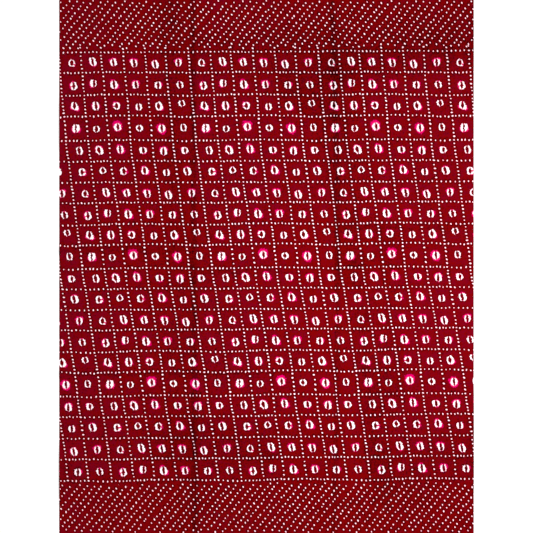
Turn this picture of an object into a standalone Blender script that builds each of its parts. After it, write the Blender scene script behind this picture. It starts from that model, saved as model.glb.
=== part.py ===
"""A cut length of wax print cotton, unfolded and laid flat, face up.

+X runs along the cut length, from raw edge to raw edge. +Y runs across the cloth, from
selvedge to selvedge. +Z points up. The origin is on the surface that the cloth lies on,
under the middle of the cloth.

The cloth is one sheet. It touches the surface in the middle of each third, and lifts off it
beside the fold creases, along faint cross creases and in a few soft swells.
"""

from collections import namedtuple

import bmesh
import bpy
import numpy as np

# Driving dimensions, in metres
CUT_LENGTH = 0.9144
CLOTH_WIDTH = 1.19
CLOTH_THICKNESS = 0.001

# The cloth was folded in three, so two creases run across it from selvedge to selvedge.
# Each wanders a little, so its place along X is given at both selvedges and in the middle.
# lift is how high the cloth stands beside the crease, at the same three places.
FoldCrease = namedtuple("FoldCrease", "x_low x_mid x_high lift_low lift_mid lift_high")
FOLD_CREASES = (
    FoldCrease(x_low=-0.157, x_mid=-0.160, x_high=-0.162, lift_low=0.0030, lift_mid=0.0034, lift_high=0.0030),
    FoldCrease(x_low=0.149, x_mid=0.157, x_high=0.145, lift_low=0.0018, lift_mid=0.0032, lift_high=0.0034),
)
FLANK_REACH = 0.055
GROOVE_REACH = 0.009
GROOVE_SHARE = 0.85

# The folded strip was then doubled over, which left a faint ridge in each third.
CrossCrease = namedtuple("CrossCrease", "y x_from x_to lift")
CROSS_CREASES = (
    CrossCrease(y=0.036, x_from=-0.457, x_to=-0.200, lift=0.0014),
    CrossCrease(y=-0.012, x_from=-0.130, x_to=0.100, lift=0.0014),
    CrossCrease(y=0.085, x_from=0.180, x_to=0.420, lift=0.0014),
    CrossCrease(y=-0.237, x_from=-0.457, x_to=0.020, lift=0.0010),
)
CROSS_REACH = 0.018
CROSS_FADE = 0.050

# Soft swells, each a long low mound round the line from a to b.
Swell = namedtuple("Swell", "x_a y_a x_b y_b reach lift")
SWELLS = (
    Swell(x_a=-0.228, y_a=0.480, x_b=-0.222, y_b=0.190, reach=0.060, lift=0.0016),
    Swell(x_a=0.200, y_a=-0.100, x_b=0.240, y_b=-0.500, reach=0.070, lift=0.0020),
    Swell(x_a=0.250, y_a=0.500, x_b=0.440, y_b=0.475, reach=0.065, lift=0.0014),
    Swell(x_a=0.457, y_a=-0.310, x_b=0.457, y_b=-0.450, reach=0.055, lift=0.0022),
    Swell(x_a=-0.457, y_a=-0.430, x_b=-0.440, y_b=-0.480, reach=0.060, lift=0.0018),
    Swell(x_a=-0.457, y_a=0.280, x_b=-0.457, y_b=0.340, reach=0.050, lift=0.0012),
    Swell(x_a=-0.040, y_a=-0.595, x_b=0.050, y_b=-0.595, reach=0.055, lift=0.0015),
)

# The mesh is close-set beside the creases and open on the flat thirds.
COLUMNS_BESIDE_CREASE = (0.003, 0.006, 0.010, 0.018, 0.032, 0.055)
ROWS_BESIDE_CROSS_CREASE = (0.009, 0.018)
OPEN_SPACING = 0.042
CLOSEST_ROWS = 0.006

# The red ground of the print, and matt cotton with a little starch
GROUND_RED = (0.23, 0.004, 0.012, 1.0)
COTTON_ROUGHNESS = 0.75


def clear_scene():
    """Removes every object, so that the model starts from nothing."""
    for obj in list(bpy.data.objects):
        bpy.data.objects.remove(obj, do_unlink=True)


def mound(t):
    """1 at t = 0, falling smoothly to exactly 0 at t = 1 and beyond: one minus t squared, squared."""
    return np.clip(1.0 - np.square(t), 0.0, 1.0) ** 2


def along_width(y, low, mid, high):
    """A value known at the -Y selvedge, in the middle and at the +Y selvedge, joined by a parabola."""
    s = y / (0.5 * CLOTH_WIDTH)
    return mid + 0.5 * (high - low) * s + (0.5 * (high + low) - mid) * s * s


def crease_x(crease, y):
    """The crease's place along X where the cloth is at y."""
    return along_width(y, crease.x_low, crease.x_mid, crease.x_high)


def fold_crease_height(crease, x, y):
    """A broad low tent with a narrow groove down its middle, which is the pressed crease itself."""
    distance = np.abs(x - crease_x(crease, y))
    lift = along_width(y, crease.lift_low, crease.lift_mid, crease.lift_high)
    tent = mound(distance / FLANK_REACH)
    groove = GROOVE_SHARE * mound(distance / GROOVE_REACH)
    return lift * (tent - groove)


def cross_crease_height(crease, x, y):
    """A narrow ridge along X that fades out over its last stretch at both ends."""
    beyond_end = np.maximum(crease.x_from - x, x - crease.x_to)
    fade = mound(np.maximum(beyond_end, 0.0) / CROSS_FADE)
    return crease.lift * fade * mound((y - crease.y) / CROSS_REACH)


def swell_height(swell, x, y):
    """A mound by the distance from the line between a and b."""
    run_x = swell.x_b - swell.x_a
    run_y = swell.y_b - swell.y_a
    share = ((x - swell.x_a) * run_x + (y - swell.y_a) * run_y) / (run_x ** 2 + run_y ** 2)
    share = np.clip(share, 0.0, 1.0)
    distance = np.hypot(x - swell.x_a - share * run_x, y - swell.y_a - share * run_y)
    return swell.lift * mound(distance / swell.reach)


def underside_height(x, y):
    """How high the cloth's underside is above the surface at x, y: the sum of all the forms."""
    height = np.zeros_like(x)
    for crease in FOLD_CREASES:
        height += fold_crease_height(crease, x, y)
    for crease in CROSS_CREASES:
        height += cross_crease_height(crease, x, y)
    for swell in SWELLS:
        height += swell_height(swell, x, y)
    return np.maximum(height, 0.0)


def open_places(start, end):
    """Evenly spaced places between start and end, without the two ends, about OPEN_SPACING apart."""
    count = max(1, int(np.ceil((end - start) / OPEN_SPACING)))
    return np.linspace(start, end, count + 1)[1:-1]


def middle_row_columns():
    """X of the grid's columns on the middle row: raw edges, columns beside creases, open ones between."""
    half = 0.5 * CUT_LENGTH
    beside = np.array(COLUMNS_BESIDE_CREASE)
    near_crease = np.concatenate([-beside[::-1], [0.0], beside])
    columns = [-half]
    for crease in FOLD_CREASES:
        columns.extend(open_places(columns[-1], crease.x_mid + near_crease[0]))
        columns.extend(crease.x_mid + near_crease)
    columns.extend(open_places(columns[-1], half))
    columns.append(half)
    return np.array(columns)


def columns_on_row(y, columns):
    """The middle row's columns, moved so that those beside a crease follow it across the cloth."""
    half = 0.5 * CUT_LENGTH
    knots = [-half]
    shifts = [0.0]
    for crease in FOLD_CREASES:
        knots.extend((crease.x_mid - FLANK_REACH, crease.x_mid + FLANK_REACH))
        shifts.extend([crease_x(crease, y) - crease.x_mid] * 2)
    knots.append(half)
    shifts.append(0.0)
    return columns + np.interp(columns, knots, shifts)


def row_places():
    """Y of every grid row: the selvedges, rows beside each cross crease, and open rows between."""
    half = 0.5 * CLOTH_WIDTH
    fixed = {-half, half}
    for crease in CROSS_CREASES:
        fixed.add(crease.y)
        for step in ROWS_BESIDE_CROSS_CREASE:
            fixed.update((crease.y - step, crease.y + step))
    rows = []
    for y in sorted(fixed):
        if rows and y - rows[-1] < CLOSEST_ROWS:
            continue
        if rows:
            rows.extend(open_places(rows[-1], y))
        rows.append(y)
    return np.array(rows)


def make_cotton():
    """Matt red cotton."""
    material = bpy.data.materials.new("printed_cotton")
    material.use_nodes = True
    shader = material.node_tree.nodes["Principled BSDF"]
    shader.inputs["Base Color"].default_value = GROUND_RED
    shader.inputs["Roughness"].default_value = COTTON_ROUGHNESS
    shader.inputs["Metallic"].default_value = 0.0
    return material


def make_cloth():
    """The whole cloth: a grid laid on the relief of the underside, then given its thickness upwards."""
    rows = row_places()
    columns = middle_row_columns()
    x = np.array([columns_on_row(y, columns) for y in rows])
    y = np.repeat(rows[:, None], x.shape[1], axis=1)
    z = underside_height(x, y)
    row_count, column_count = x.shape

    bm = bmesh.new()
    bmesh.ops.create_grid(bm, x_segments=column_count - 1, y_segments=row_count - 1, size=0.5)
    for vert in bm.verts:
        column = round((vert.co.x + 0.5) * (column_count - 1))
        row = round((vert.co.y + 0.5) * (row_count - 1))
        vert.co = (x[row, column], y[row, column], z[row, column])
    mesh = bpy.data.meshes.new("cloth")
    bm.to_mesh(mesh)
    bm.free()

    cloth = bpy.data.objects.new("cloth", mesh)
    bpy.context.scene.collection.objects.link(cloth)
    mesh.materials.append(make_cotton())
    mesh.shade_smooth()

    # The grid faces up, so an offset of 1 puts the thickness above it and leaves the underside flat.
    solidify = cloth.modifiers.new("thickness", "SOLIDIFY")
    solidify.thickness = CLOTH_THICKNESS
    solidify.offset = 1.0
    return cloth


def main():
    clear_scene()
    make_cloth()


main()
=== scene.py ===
# %% [markdown]
# A yard of wax print cotton, unfolded and laid out flat
#
# The real object is one cut length of plain woven cotton, dyed red round a resist. Where wax
# or paste kept the dye out, the cloth stays white: dots, dotted lines, and one small eye in
# each cell of a dotted lattice. It was folded for sale and still shows the creases.
#
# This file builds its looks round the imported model, which holds the size and the folds.
# Each step says what the real thing is, how it could be made, and why this way was chosen.

# %% Load the frame
from collections import namedtuple
from functools import partial
from math import cos, pi, radians, sin

import bpy
import numpy as np
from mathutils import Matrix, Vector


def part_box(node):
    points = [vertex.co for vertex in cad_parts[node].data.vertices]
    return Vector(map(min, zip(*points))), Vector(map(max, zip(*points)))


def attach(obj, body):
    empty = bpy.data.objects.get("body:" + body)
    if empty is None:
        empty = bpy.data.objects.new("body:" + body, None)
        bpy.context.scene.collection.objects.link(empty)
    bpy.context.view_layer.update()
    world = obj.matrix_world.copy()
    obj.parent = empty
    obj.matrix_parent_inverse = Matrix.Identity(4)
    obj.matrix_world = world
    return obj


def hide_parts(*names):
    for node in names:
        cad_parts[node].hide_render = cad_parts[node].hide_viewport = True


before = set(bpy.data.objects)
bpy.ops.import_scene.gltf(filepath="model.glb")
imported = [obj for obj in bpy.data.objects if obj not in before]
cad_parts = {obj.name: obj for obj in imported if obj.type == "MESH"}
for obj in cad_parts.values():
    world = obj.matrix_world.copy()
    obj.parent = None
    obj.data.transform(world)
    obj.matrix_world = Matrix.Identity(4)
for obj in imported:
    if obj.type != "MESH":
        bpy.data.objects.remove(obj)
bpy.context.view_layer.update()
low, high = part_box("cloth")
print("solid cloth from", tuple(low), "to", tuple(high))

# %% [markdown]
# Sizes
#
# The cloth's own sizes come from the solid. The photograph's frame is square, and its side
# covers a little less than the cloth's width, so the selvedges lie just outside the picture.

# %% Sizes, in metres
CUT_LENGTH = 0.9144
CLOTH_WIDTH = 1.19
HALF_LENGTH = 0.5 * CUT_LENGTH
HALF_WIDTH = 0.5 * CLOTH_WIDTH
COTTON_THICKNESS = 0.0004
PICTURE_SIDE = 1.176
print("cloth", CUT_LENGTH, "by", CLOTH_WIDTH, "picture side", PICTURE_SIDE)

# %% [markdown]
# Camera
#
# The cloth was photographed from straight above. A long lens well back keeps the edges
# straight and the pattern even. The lens follows from the distance and the side of the
# square picture: the picture's side is to the distance as the sensor is to the lens.

# %% Camera straight above
CAMERA_HEIGHT = 3.0
SENSOR_WIDTH = 36.0


def add_object(name, data):
    """An object that shows the data, in the scene."""
    made = bpy.data.objects.new(name, data)
    bpy.context.scene.collection.objects.link(made)
    return made


def make_camera():
    """A camera over the middle of the cloth, looking down, with +Y at the top of the picture."""
    data = bpy.data.cameras.new("camera")
    data.sensor_width = SENSOR_WIDTH
    data.lens = SENSOR_WIDTH * CAMERA_HEIGHT / PICTURE_SIDE
    camera = add_object("camera", data)
    camera.location = (0.0, 0.0, CAMERA_HEIGHT)
    bpy.context.scene.camera = camera
    return camera


camera = make_camera()
print("lens", round(camera.data.lens, 1), "mm")

# %% [markdown]
# The lie of the cloth
#
# A pressed crease keeps its line when the cloth is unfolded: it stays down, and the cloth on
# both sides stands up from it like a very low tent. The solid already has these forms. Here
# the same sums are repeated on a much finer grid, so that the light can show them. A cloth
# simulation would settle the creases wherever it liked, and these have known places.

# %% Creases and swells
# Place along X and lift, at the -Y selvedge, in the middle and at the +Y selvedge
FoldCrease = namedtuple("FoldCrease", "x_low x_mid x_high lift_low lift_mid lift_high")
FOLD_CREASES = (
    FoldCrease(-0.157, -0.160, -0.162, 0.0030, 0.0034, 0.0030),
    FoldCrease(0.149, 0.157, 0.145, 0.0018, 0.0032, 0.0034),
)
FLANK_REACH = 0.055
GROOVE_REACH = 0.009
GROOVE_SHARE = 0.85

# Faint ridges along X, each in one third of the cloth
CrossCrease = namedtuple("CrossCrease", "y x_from x_to lift")
CROSS_CREASES = (
    CrossCrease(0.036, -0.457, -0.200, 0.0014),
    CrossCrease(-0.012, -0.130, 0.100, 0.0014),
    CrossCrease(0.085, 0.180, 0.420, 0.0014),
    CrossCrease(-0.237, -0.457, 0.020, 0.0010),
)
CROSS_REACH = 0.018
CROSS_FADE = 0.050

# Low mounds round the line from a to b
Swell = namedtuple("Swell", "x_a y_a x_b y_b reach lift")
SWELLS = (
    Swell(-0.228, 0.480, -0.222, 0.190, 0.060, 0.0016),
    Swell(0.200, -0.100, 0.240, -0.500, 0.070, 0.0020),
    Swell(0.250, 0.500, 0.440, 0.475, 0.065, 0.0014),
    Swell(0.457, -0.310, 0.457, -0.450, 0.055, 0.0022),
    Swell(-0.457, -0.430, -0.440, -0.480, 0.060, 0.0018),
    Swell(-0.457, 0.280, -0.457, 0.340, 0.050, 0.0012),
    Swell(-0.040, -0.595, 0.050, -0.595, 0.055, 0.0015),
)


def mound(t):
    """1 at t = 0, falling smoothly to exactly 0 at t = 1 and beyond: one minus t squared, squared."""
    return np.clip(1.0 - np.square(t), 0.0, 1.0) ** 2


def along_width(y, at_low, at_mid, at_high):
    """A value known at the -Y selvedge, in the middle and at the +Y selvedge, joined by a parabola."""
    s = y / HALF_WIDTH
    return at_mid + 0.5 * (at_high - at_low) * s + (0.5 * (at_high + at_low) - at_mid) * s * s


def crease_x(crease, y):
    """The crease's place along X where the cloth is at y."""
    return along_width(y, crease.x_low, crease.x_mid, crease.x_high)


def fold_crease_height(crease, x, y):
    """A broad low tent, with the narrow groove of the pressed crease down its middle."""
    distance = np.abs(x - crease_x(crease, y))
    lift = along_width(y, crease.lift_low, crease.lift_mid, crease.lift_high)
    groove = GROOVE_SHARE * mound(distance / GROOVE_REACH)
    return lift * (mound(distance / FLANK_REACH) - groove)


def cross_crease_shape(crease, x, y):
    """A narrow ridge along X, 1 at its crest, that fades out over its last stretch at both ends."""
    beyond_end = np.maximum(np.maximum(crease.x_from - x, x - crease.x_to), 0.0)
    return mound(beyond_end / CROSS_FADE) * mound((y - crease.y) / CROSS_REACH)


def along_line(line, x, y):
    """A mound by the distance from the line between a and b: 1 on it, 0 at its reach."""
    run_x = line.x_b - line.x_a
    run_y = line.y_b - line.y_a
    share = ((x - line.x_a) * run_x + (y - line.y_a) * run_y) / (run_x ** 2 + run_y ** 2)
    share = np.clip(share, 0.0, 1.0)
    distance = np.hypot(x - line.x_a - share * run_x, y - line.y_a - share * run_y)
    return mound(distance / line.reach)


def underside_height(x, y):
    """How high the underside is above the surface at x, y: the sum of all the forms, never below 0."""
    height = sum(fold_crease_height(crease, x, y) for crease in FOLD_CREASES)
    height += sum(crease.lift * cross_crease_shape(crease, x, y) for crease in CROSS_CREASES)
    height += sum(swell.lift * along_line(swell, x, y) for swell in SWELLS)
    return np.maximum(height, 0.0)


print("lift beside the first crease", underside_height(np.array([-0.17]), np.array([0.0])))

# %% [markdown]
# Seeded waves
#
# Hand work is never quite even: lines wander, colour takes unevenly, and flat cotton still has
# a faint roll. One small tool serves all of these: a sum of cosine waves whose directions and
# phases come from a seed, so that each run gives the same cloth.

# %% Waves
WAVE_SHRINK = 0.75
WAVE_FADE = 0.85
WAVE_PEAK = 0.6


def waves(x, y, seed, longest, count=6):
    """A smooth field of about -1 to 1, always the same for the same seed.

    It is a sum of cosines in seeded directions, each shorter and weaker than the last by a
    fixed share, divided by about the highest value that such a sum reaches.
    """
    rng = np.random.default_rng(seed)
    field = np.zeros(np.broadcast(x, y).shape)
    total = 0.0
    for step in range(count):
        turn = rng.uniform(0.0, 2.0 * pi)
        phase = rng.uniform(0.0, 2.0 * pi)
        length = longest * WAVE_SHRINK ** step
        size = WAVE_FADE ** step
        field = field + size * np.cos(2.0 * pi * (x * cos(turn) + y * sin(turn)) / length + phase)
        total += size
    return field / (WAVE_PEAK * total)


ROLL_LIFT = 0.00022
ROLL_SEED = 11
ROLL_LENGTH = 0.30
print("roll of the flat cloth", ROLL_LIFT * 1000, "mm")

# %% [markdown]
# The grid
#
# The sheet is a grid of points, close-set across the two sharp creases and even elsewhere.
# The columns beside a crease follow it as it wanders, so the crease stays crisp without a
# fine mesh all over. All places are worked out as whole arrays.

# %% Grid of the sheet
COLUMNS_BESIDE_CREASE = np.array((
    0.0012, 0.0024, 0.0036, 0.0048, 0.0060, 0.0075, 0.0092,
    0.0115, 0.0150, 0.0200, 0.0270, 0.0350, 0.0440, 0.0550,
))
OPEN_SPACING = 0.0060


def open_places(start, end):
    """Evenly spaced places from start to end, with neither end, about OPEN_SPACING apart."""
    count = int(np.ceil((end - start) / OPEN_SPACING))
    return np.linspace(start, end, count + 1)[1:-1]


def middle_row_columns():
    """X of the columns on the middle row: the raw edges, close columns at creases, even ones between."""
    near = np.concatenate([-COLUMNS_BESIDE_CREASE[::-1], [0.0], COLUMNS_BESIDE_CREASE])
    parts = [[-HALF_LENGTH]]
    for crease in FOLD_CREASES:
        parts.append(open_places(parts[-1][-1], crease.x_mid + near[0]))
        parts.append(crease.x_mid + near)
    parts.append(open_places(parts[-1][-1], HALF_LENGTH))
    parts.append([HALF_LENGTH])
    return np.concatenate(parts)


def sheet_plan():
    """X and Y of every grid point: columns beside a crease are moved with it, row by row."""
    columns = middle_row_columns()
    rows = np.linspace(-HALF_WIDTH, HALF_WIDTH, int(round(CLOTH_WIDTH / OPEN_SPACING)) + 1)
    x, y = np.meshgrid(columns, rows)
    left, right = FOLD_CREASES
    knots = [-HALF_LENGTH, left.x_mid - FLANK_REACH, left.x_mid + FLANK_REACH]
    knots += [right.x_mid - FLANK_REACH, right.x_mid + FLANK_REACH, HALF_LENGTH]
    left_share = np.interp(columns, knots, (0, 1, 1, 0, 0, 0))
    right_share = np.interp(columns, knots, (0, 0, 0, 1, 1, 0))
    left_shift = left_share * (crease_x(left, y) - left.x_mid)
    right_shift = right_share * (crease_x(right, y) - right.x_mid)
    return x + left_shift + right_shift, y


plan_x, plan_y = sheet_plan()
roll_share = 0.5 + 0.5 * waves(plan_x, plan_y, ROLL_SEED, ROLL_LENGTH)
roll = ROLL_LIFT * np.clip(roll_share, 0.0, 1.0)
under_z = underside_height(plan_x, plan_y) + roll
print("grid", plan_x.shape, "highest underside", round(under_z.max() * 1000, 2), "mm")

# %% [markdown]
# The cloth as a closed sheet
#
# Cotton is thin but it has two faces and an edge. The underside is the grid itself, the
# printed face is the same grid raised by the cloth's thickness, and a narrow rim joins them.
# The faces are listed with the printed side last, because both sides share one map.

# %% Sheet mesh
def grid_faces(rows, columns, first, upwards):
    """Quads of a grid whose points are numbered row by row from first, facing up or down."""
    corner = first + np.arange(rows * columns).reshape(rows, columns)
    a, b, c, d = corner[:-1, :-1], corner[:-1, 1:], corner[1:, 1:], corner[1:, :-1]
    ring = (a, b, c, d) if upwards else (a, d, c, b)
    return np.stack([side.ravel() for side in ring], axis=1)


def border_loop(rows, columns):
    """The grid's outer points, counter-clockwise as seen from above."""
    corner = np.arange(rows * columns).reshape(rows, columns)
    return np.concatenate([corner[0, :-1], corner[:-1, -1], corner[-1, :0:-1], corner[:0:-1, 0]])


def rim_faces(rows, columns, raised):
    """Quads from the underside's outer points up to the printed face's, facing outwards."""
    loop = border_loop(rows, columns)
    after = np.roll(loop, -1)
    return np.stack([loop, after, after + raised, loop + raised], axis=1)


def make_mesh(name, points, quads):
    """A mesh from arrays of points and of quads, filled in one go."""
    mesh = bpy.data.meshes.new(name)
    mesh.vertices.add(len(points))
    mesh.vertices.foreach_set("co", np.asarray(points, np.float32).ravel())
    mesh.loops.add(quads.size)
    mesh.loops.foreach_set("vertex_index", quads.astype(np.int32).ravel())
    mesh.polygons.add(len(quads))
    mesh.polygons.foreach_set("loop_start", np.arange(0, quads.size, 4, dtype=np.int32))
    mesh.update(calc_edges=True)
    mesh.validate()
    return mesh


SHARP_EDGE = radians(50.0)
ROWS, COLUMNS = plan_x.shape
under_points = np.stack([plan_x, plan_y, under_z], axis=-1).reshape(-1, 3)
face_points = under_points + (0.0, 0.0, COTTON_THICKNESS)
sheet_points = np.concatenate([under_points, face_points])
sheet_quads = np.concatenate([
    grid_faces(ROWS, COLUMNS, 0, upwards=False),
    rim_faces(ROWS, COLUMNS, len(under_points)),
    grid_faces(ROWS, COLUMNS, len(under_points), upwards=True),
])
cloth_mesh = make_mesh("printed_cotton_sheet", sheet_points, sheet_quads)
cloth_mesh.shade_smooth()
cloth_mesh.set_sharp_from_angle(angle=SHARP_EDGE)
cloth = add_object("printed_cotton_sheet", cloth_mesh)
print("sheet triangles", 2 * len(sheet_quads))

# %% [markdown]
# The lattice
#
# The print is a lattice of nearly square cells, six by six to a repeat. Its columns lean, more
# steeply lower down, and its rows tilt a little, because the cloth was printed and finished
# slightly off the straight. Each point of the sheet gets lattice coordinates: u counts columns
# to the right and v counts rows down, with a dotted line at every whole number. The material
# draws the print from them, so it stays sharp at any distance without an image.

# %% Lattice coordinates
REPEAT_CELLS = 6
COLUMN_STEP = 0.04772
ROW_STEP = 0.04935
MEAN_ROW_STEP = 0.0472
FIRST_EYE = (-0.4342, 0.4505)

# Metres to the right for each row, its square and its cube
LEAN = (0.0037, 0.000237, -0.0000062)

# Metres by which rows close up, for the square of the row and its cube
CLOSING = (0.00026, -0.0000084)

# Metres up for each column, and more of it for each row
TILT = (0.00006, 0.0000215)

# Cloth swallowed by the second crease, and the width over which the print shifts there
TAKEN_IN = 0.0029
TAKEN_IN_ACROSS = 0.012

# Rounds in which a place's lattice coordinates are closed in on
ROUNDS = 8


def place_in_print(c, r):
    """x, y of the middle of the cell in column c and row r, both counted from 0 at the top left.

    Even steps, plus a lean that grows with r, rows that close up slightly, and a tilt that
    lifts the far end of the lower rows. The second crease has swallowed a little cloth, so the
    print beyond it lies that much further left.
    """
    x = FIRST_EYE[0] + COLUMN_STEP * c + LEAN[0] * r + LEAN[1] * r ** 2 + LEAN[2] * r ** 3
    y = FIRST_EYE[1] - ROW_STEP * r + CLOSING[0] * r ** 2 + CLOSING[1] * r ** 3
    y = y + (TILT[0] + TILT[1] * r) * c
    beyond_crease = np.clip(0.5 + (x - crease_x(FOLD_CREASES[1], y)) / TAKEN_IN_ACROSS, 0.0, 1.0)
    return x - TAKEN_IN * beyond_crease, y


def lattice(x, y):
    """u, v at x, y: the same sums turned round, by closing in on the place again and again."""
    c = (x - FIRST_EYE[0]) / COLUMN_STEP
    r = (FIRST_EYE[1] - y) / ROW_STEP
    for _ in range(ROUNDS):
        near_x, near_y = place_in_print(c, r)
        c = c + (x - near_x) / COLUMN_STEP
        r = r + (near_y - y) / ROW_STEP
    return c + 0.5, r + 0.5


def lean_per_row(v):
    """Metres that a column moves along X from one row to the next: the slope of the lean."""
    r = v - 0.5
    return LEAN[0] + 2.0 * LEAN[1] * r + 3.0 * LEAN[2] * r ** 2


lattice_u, lattice_v = lattice(plan_x, plan_y)
print("columns", lattice_u.min().round(2), "to", lattice_u.max().round(2))
print("rows", lattice_v.min().round(2), "to", lattice_v.max().round(2))

# %% [markdown]
# Wandering lines
#
# The lattice lines were drawn dot by dot, so each keeps off its ruled place by a millimetre or
# two, and wanders as it goes. The wander repeats with the pattern, so it is charted: one row
# for each line of the repeat, and in it one value for the middle of each of its six cells, in
# hundredths of a cell. Between these values the line runs straight. The two charts weren't made
# by hand: a small program worked them out from where the lines lie in the photograph, over all
# repeats, and rounded them. The lattice coordinates are shifted by the drift, less and less
# from one line to the next, so that the drawn lines lie exactly at their whole numbers and meet
# exactly at the crossings. The top line and the bottom one belong to the borders as much as to
# the lattice, and each tilts in its own way.

# %% Line drift
UPRIGHT_DRIFT = np.array((
    (3, 3, 2, 3, -1, 2),
    (4, 5, 3, 3, 2, 5),
    (-2, 0, 0, -3, -3, -4),
    (0, 3, 3, -1, -4, 0),
    (4, 0, 1, 0, -3, -1),
    (-4, -6, -2, -5, -7, -4),
))
LEVEL_DRIFT = np.array((
    (1, -1, 2, 1, 1, 3),
    (-1, -5, -6, -4, -5, -3),
    (2, -4, -4, -5, -1, 2),
    (-4, -6, -10, -8, -7, 0),
    (8, 6, 3, 5, 6, 11),
    (5, 2, 2, 0, 1, 4),
))
HUNDREDTH = 0.01
LAST_LINE = 20

# Tilt of the top line and of the bottom one, in cells, at the two ends that are given by u
LINE_ENDS = (0.0, 19.0)
TOP_LINE_TILT = (0.065, -0.012)
FOOT_LINE_TILT = (-0.055, 0.045)


def charted(chart, line, along):
    """A line's drift, in cells, at a place along it: charted values, with straight runs between."""
    place = along - 0.5
    before = np.floor(place).astype(int)
    share = place - before
    from_value = chart[line, before % REPEAT_CELLS]
    to_value = chart[line, (before + 1) % REPEAT_CELLS]
    return HUNDREDTH * (from_value + (to_value - from_value) * share)


def level_drift(line, u):
    """A level line's drift at u, with the tilt of the top line and of the bottom one added."""
    top_tilt = (line == 0) * np.interp(u, LINE_ENDS, TOP_LINE_TILT)
    foot_tilt = (line == LAST_LINE) * np.interp(u, LINE_ENDS, FOOT_LINE_TILT)
    return charted(LEVEL_DRIFT, line % REPEAT_CELLS, u) + top_tilt + foot_tilt


def drawn_lattice(x, y):
    """Lattice coordinates of x, y in which the lines as drawn lie at the whole numbers."""
    u, v = lattice(x, y)
    left = np.floor(u).astype(int)
    top = np.floor(v).astype(int)
    left_drift = charted(UPRIGHT_DRIFT, left % REPEAT_CELLS, v)
    right_drift = charted(UPRIGHT_DRIFT, (left + 1) % REPEAT_CELLS, v)
    top_drift = level_drift(top, u)
    foot_drift = level_drift(top + 1, u)
    across = left_drift + (right_drift - left_drift) * (u - left)
    down = top_drift + (foot_drift - top_drift) * (v - top)
    return u - across, v - down


drawn_u, drawn_v = drawn_lattice(plan_x, plan_y)
print("largest drift", round(np.abs(drawn_u - lattice_u).max() * COLUMN_STEP * 1000, 1), "mm")
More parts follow.
